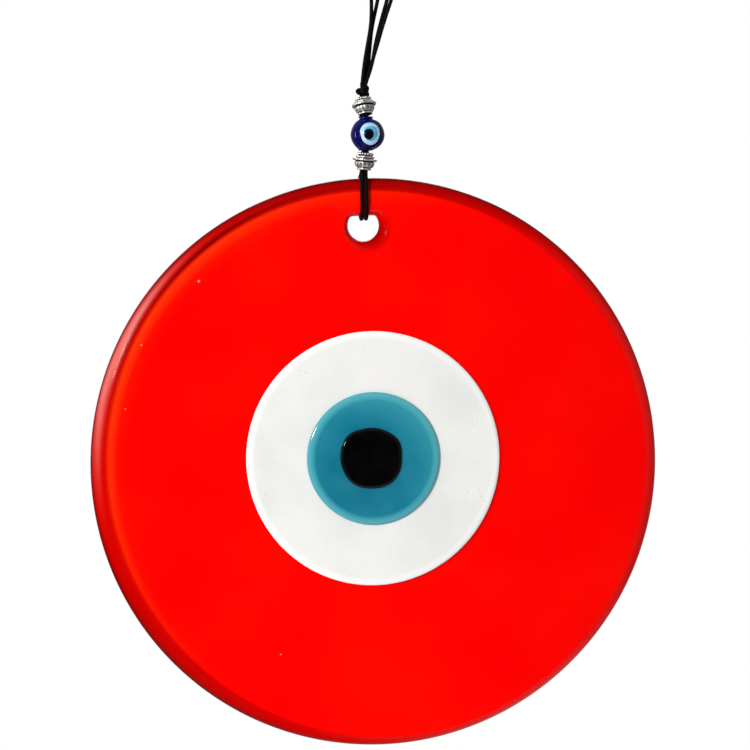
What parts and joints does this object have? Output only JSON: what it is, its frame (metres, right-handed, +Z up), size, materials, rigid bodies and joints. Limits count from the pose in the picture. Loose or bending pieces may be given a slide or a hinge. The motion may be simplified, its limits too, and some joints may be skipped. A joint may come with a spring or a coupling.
{
  "type": "evil eye ornament",
  "caption": "Round fused-glass evil eye wall ornament, red with a white, blue and black eye, hung on a black waxed cord with silver spacers and a small blue eye bead.",
  "frame": {"origin": "top of the hanging loop, on the inside, where a hook or nail carries it", "axes": "+Z up as it hangs, the eye faces -Y, +X to the right of someone who looks at the eye"},
  "size_m": [0.2, 0.0136, 0.3037],
  "materials": {
    "red_glass": "fire-polished opaque red fused glass",
    "white_glass": "fire-polished opaque white fused glass with small bubbles",
    "blue_glass": "fire-polished blue-green fused glass",
    "black_glass": "fire-polished opaque black glass",
    "cobalt_glass": "glossy cobalt blue lampwork glass",
    "bead_white": "glossy pale lampwork glass",
    "bead_light_blue": "glossy light blue lampwork glass",
    "bead_black": "glossy near-black lampwork glass",
    "antique_silver": "cast silver-coloured alloy with blackened recesses",
    "waxed_cord": "black waxed cotton cord"
  },
  "bodies": {
    "hanging_loop": {"loop_cord_a": "waxed_cord", "loop_cord_b": "waxed_cord"},
    "knot": {"bead_knot": "waxed_cord"},
    "bead_string": {"string_cord_a": "waxed_cord", "string_cord_b": "waxed_cord"},
    "upper_spacer": {"upper_spacer_bead": "antique_silver"},
    "eye_bead": {"eye_bead_body": "cobalt_glass", "eye_bead_white_ring": "bead_white", "eye_bead_light_blue": "bead_light_blue", "eye_bead_pupil": "bead_black"},
    "lower_spacer": {"lower_spacer_bead": "antique_silver"},
    "glass_disc": {"red_glass_disc": "red_glass", "white_glass_layer": "white_glass", "blue_glass_iris": "blue_glass", "black_glass_pupil": "black_glass"}
  },
  "joints": [
    {"name": "sideways_swing", "type": "hinge", "parent": "hanging_loop", "child": "knot", "pos_m": [-0.01095, -0.0019, -0.0721], "axis": [0, 1, 0], "range_deg": [-30, 30]},
    {"name": "cord_twist", "type": "hinge", "parent": "knot", "child": "bead_string", "pos_m": [-0.01095, -0.0019, -0.0721], "axis": [0, 0, 1], "range_deg": [-180, 180], "stiffness_Nm_per_rad": 0.0005},
    {"name": "upper_spacer_spin", "type": "hinge", "parent": "bead_string", "child": "upper_spacer", "pos_m": [-0.01064, -0.00287, -0.0774], "axis": [-0.0762, 0.2952, 0.9524], "continuous": true},
    {"name": "eye_bead_spin", "type": "hinge", "parent": "bead_string", "child": "eye_bead", "pos_m": [-0.01074, -0.00375, -0.0873], "axis": [0.0599, 0.0349, 0.9976], "continuous": true},
    {"name": "lower_spacer_spin", "type": "hinge", "parent": "bead_string", "child": "lower_spacer", "pos_m": [-0.01146, -0.00397, -0.0967], "axis": [0.1483, 0.0297, 0.9885], "continuous": true},
    {"name": "disc_rock", "type": "hinge", "parent": "bead_string", "child": "glass_disc", "pos_m": [-0.0127, -0.0035, -0.1163], "axis": [0, 1, 0], "range_deg": [-10, 10]}
  ]
}
